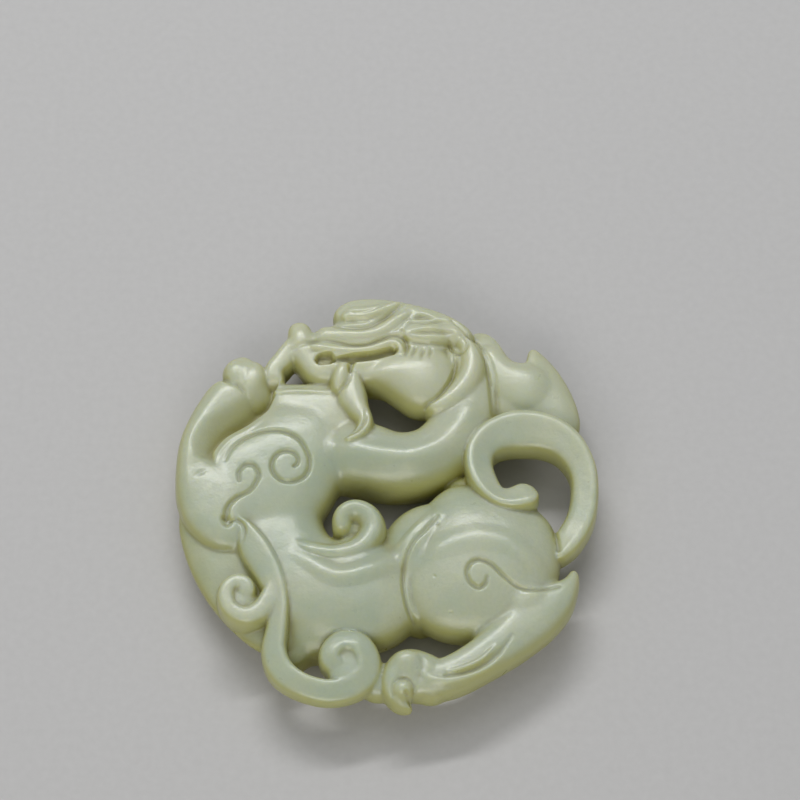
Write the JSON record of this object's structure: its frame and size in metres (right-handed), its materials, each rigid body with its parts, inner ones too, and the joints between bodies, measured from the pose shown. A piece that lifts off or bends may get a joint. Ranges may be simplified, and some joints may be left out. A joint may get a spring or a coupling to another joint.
{
  "type": "jade dragon pendant",
  "caption": "Openwork disc of pale jade carved as a coiled dragon, worn or hung by a cord passed through one of its pierced gaps.",
  "frame": {"origin": "centre of the pendant's bounding rectangle, in the plane of its flat back, which it lies on", "axes": "+X to the dragon's tail side, +Y from the hind foot up to the brow, +Z out of the carved face"},
  "size_m": [0.0578, 0.063, 0.01],
  "materials": {
    "jade": "polished"
  },
  "bodies": {
    "root": {"dragon_pendant": "jade"}
  },
  "joints": []
}
